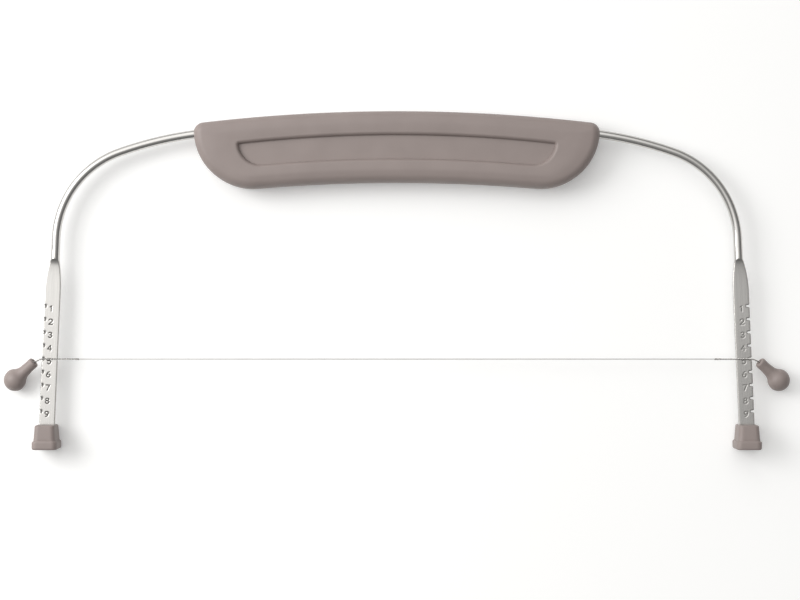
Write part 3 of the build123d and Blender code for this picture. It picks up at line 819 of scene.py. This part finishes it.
# %% Knobs
spin = np.radians(np.arange(0, 360, 4.5))
seam_share, seam_width = 0.011, np.radians(2.6)
seam = 1 + seam_share * sum(np.exp(-(((spin - c) / seam_width) ** 2)) for c in (0.0, np.pi, 2 * np.pi))
h, r = half_outline[:, :1], half_outline[:, 1:]
r = r * np.where((h > 1.0) & (r > 1.5), seam[None], 1.0)
ring = np.cos(spin)[:, None] * level + np.sin(spin)[:, None] * upward
knob_grid = tip + h[..., None] * axis + r[..., None] * ring[None]
for name, sign in (("left", -1.0), ("right", 1.0)):
    knob = closed_surface(name + "_pull_knob", knob_grid * (sign, 1, 1), taupe, sharp=50)
    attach(knob, name + "_puller")
    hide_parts(name + "_knob")

# %% [markdown]
# ## The wire and its twisted ends
#
# The cutting wire is one hard steel strand of 0.4 mm. At each end it passes through the knob, comes back
# and is twisted round itself, with a few tight turns to lock its tip. A modelling tool could sweep a circle
# along curve objects, but here the twist changes its pitch on the way, so the path is a cubic B-spline led
# by a few guide points, each strand is a helix about it, and a tube is a circle carried along its strand.


# %% Spline helpers
def b_spline(guides, per_span):
    """A uniform cubic B-spline through the first guide, near the others and through the last one.

    With u from 0 to 1 in a span, the four guides weigh (1-u)^3, 3u^3-6u^2+4, -3u^3+3u^2+3u+1 and u^3, all
    over six. The end guides count three times, so the line reaches them.
    """
    g = np.vstack([guides[:1], guides[:1], guides, guides[-1:], guides[-1:]])
    u = np.linspace(0, 1, per_span, endpoint=False)[None, :, None]
    weights = ((1 - u) ** 3, 3 * u**3 - 6 * u**2 + 4, -3 * u**3 + 3 * u**2 + 3 * u + 1, u**3)
    spans = sum(weight * g[k : len(g) - 3 + k, None] for k, weight in enumerate(weights))
    return np.vstack([spans.reshape(-1, 3) / 6, guides[-1:]])


def even(points, spacing):
    """The same line with points at even distances along it, and those distances."""
    far = np.concatenate([[0.0], np.cumsum(np.linalg.norm(np.diff(points, axis=0), axis=1))])
    at = np.linspace(0, far[-1], int(far[-1] / spacing) + 2)
    return np.stack([np.interp(at, far, points[:, k]) for k in range(3)], -1), at


three_guides = np.array([[0.0, 0.0, 0.0], [1.0, 0.0, 0.0], [1.0, 1.0, 0.0]])
print("a spline led by three corners is", even(b_spline(three_guides, 9), 0.1)[1][-1].round(2), "long")


# %% Tube helpers
def frame_of(points):
    """Two directions square to a line at each point. The first is the part of +Z square to the tangent."""
    tangent = np.gradient(points, axis=0)
    tangent /= np.linalg.norm(tangent, axis=1, keepdims=True)
    first = np.array([0, 0, 1.0]) - tangent[:, 2:] * tangent
    first /= np.linalg.norm(first, axis=1, keepdims=True)
    return first, np.cross(tangent, first)


def tube(points, radius, sides=10):
    """A circle carried along a line, with its ends shrunk to a point, and its unrolled places."""
    first, second = frame_of(points)
    t = np.linspace(0, 2 * np.pi, sides, endpoint=False)
    around = np.cos(t)[:, None] * first[:, None] + np.sin(t)[:, None] * second[:, None]
    grid = points[:, None] + radius * around
    caps = [np.broadcast_to(points[k], (1, sides, 3)) for k in (0, -1)]
    grid = np.concatenate([caps[0], grid, caps[1]])
    far = np.linspace(0, len(points) * 0.1, len(points) + 2)[:, None]
    unrolled = np.stack([np.cos(t) * radius + 0 * far, np.sin(t) * radius + 0 * far, far + 0 * t], -1) * MM
    return grid, unrolled


def wire_piece(name, tubes):
    """Several tubes in one closed piece."""
    parts = [
        closed_surface(f"{name}_{k}", grid, wire_steel, sharp=80, unrolled=unrolled)
        for k, (grid, unrolled) in enumerate(tubes)
    ]
    work = bmesh.new()
    for part in parts:
        work.from_mesh(part.data)
    mesh = bpy.data.meshes.new(name)
    work.to_mesh(mesh)
    work.free()
    for part in parts:
        bpy.data.objects.remove(part)
    mesh.shade_smooth()
    mesh.materials.append(wire_steel)
    piece = bpy.data.objects.new(name, mesh)
    bpy.context.scene.collection.objects.link(piece)
    return piece


print("a tube of three points has the grid", tube(three_guides, 0.1)[0].shape)

# %% Cutting strand
wire_y, wire_radius = -35.75, 0.2
run_x = np.linspace(-144.9, 144.9, 300)
straight = np.stack([run_x, np.full(300, wire_y), np.full(300, wire_z)], -1)
strand = wire_piece("cutting_strand", [tube(straight, wire_radius, 14)])
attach(strand, "wire")
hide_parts("cutting_wire")

# %% [markdown]
# ## The doubled ends
#
# An end starts where the single strand stops, runs level over the arm just above its notch, drops outside
# the arm's edge and leads into the knob. It is wrapped tightly for 1.9 mm, a turn every 0.44 mm, and over
# the next half millimetre the wraps pass into a slow twist, a turn every 2.3 mm. In the wraps one strand
# stays straight and the other winds round it. In the twist both wind round the path, half a turn apart.

# %% Wire ends
swing = np.array([162.950, -36.296, 7.948])
guides = [(x, wire_y, wire_z) for x in (144.58, 147, 151, 155, 158.6, 160.6, 162.0)]
guides += [swing + (0, 0, 0.55), tip, *(tip + axis * depth_in for depth_in in (1.5, 4.0, 8.0, 12.6))]
path, at = even(b_spline(np.vstack(guides), 40), 0.1)
first, second = frame_of(path)

wraps_end, wrap_turn, twist_turn, wrap_lift = 1.9, 0.44, 2.3, 0.17
in_wrap = 1 - ease((at - wraps_end) / 0.5)
turns_per_mm = in_wrap / wrap_turn + (1 - in_wrap) / twist_turn
phase = 2 * np.pi * np.cumsum(np.gradient(at) * turns_per_mm)
circle = np.cos(phase)[:, None] * first + np.sin(phase)[:, None] * second
standing = path - (wire_radius * (1 - in_wrap))[:, None] * circle
winding = path + (wire_radius + wrap_lift * in_wrap)[:, None] * circle

for name, sign in (("left", -1.0), ("right", 1.0)):
    flip = np.array([sign, 1.0, 1.0])
    strands = [tube(standing * flip, wire_radius), tube(even(winding * flip, 0.09)[0], wire_radius)]
    ends = wire_piece(name + "_wire_end", strands)
    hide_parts(name + "_wire_twist", name + "_wire_tail")
    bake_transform(ends)
print("wire path", round(at[-1], 1), "mm, turns", round(phase[-1] / 2 / np.pi, 1))

# %% [markdown]
# ## Crimps
#
# Inside each knob the doubled wire is squeezed in a short sleeve of tinned copper, the usual metal for
# this, since it is soft enough to flow round the strands. It never shows from outside, so the CAD sleeve
# keeps its own shape and only gets its metal. Tin has no drawn lines, only a cloudy, slightly dull skin.

# %% Crimps
tin = {"Metallic": 1.0, "Base Color": linear("#b3aca4")}
crimp_metal, tree, shader = new_material("tinned_crimp_copper", tin)
place = add_node(tree, "TexCoord").outputs["Object"]
cloud = add_node(tree, "TexNoise", {"Vector": place, "Scale": 1 / (0.8 * MM), "Detail": 2.0})
dull = add_node(tree, "MapRange", {"Value": cloud.outputs["Fac"], "To Min": 0.3, "To Max": 0.45})
tree.links.new(dull.outputs["Result"], shader.inputs["Roughness"])
for name in ("left_crimp", "right_crimp"):
    nodes[name].data.materials.clear()
    nodes[name].data.materials.append(crimp_metal)
print("crimps wear", crimp_metal.name)
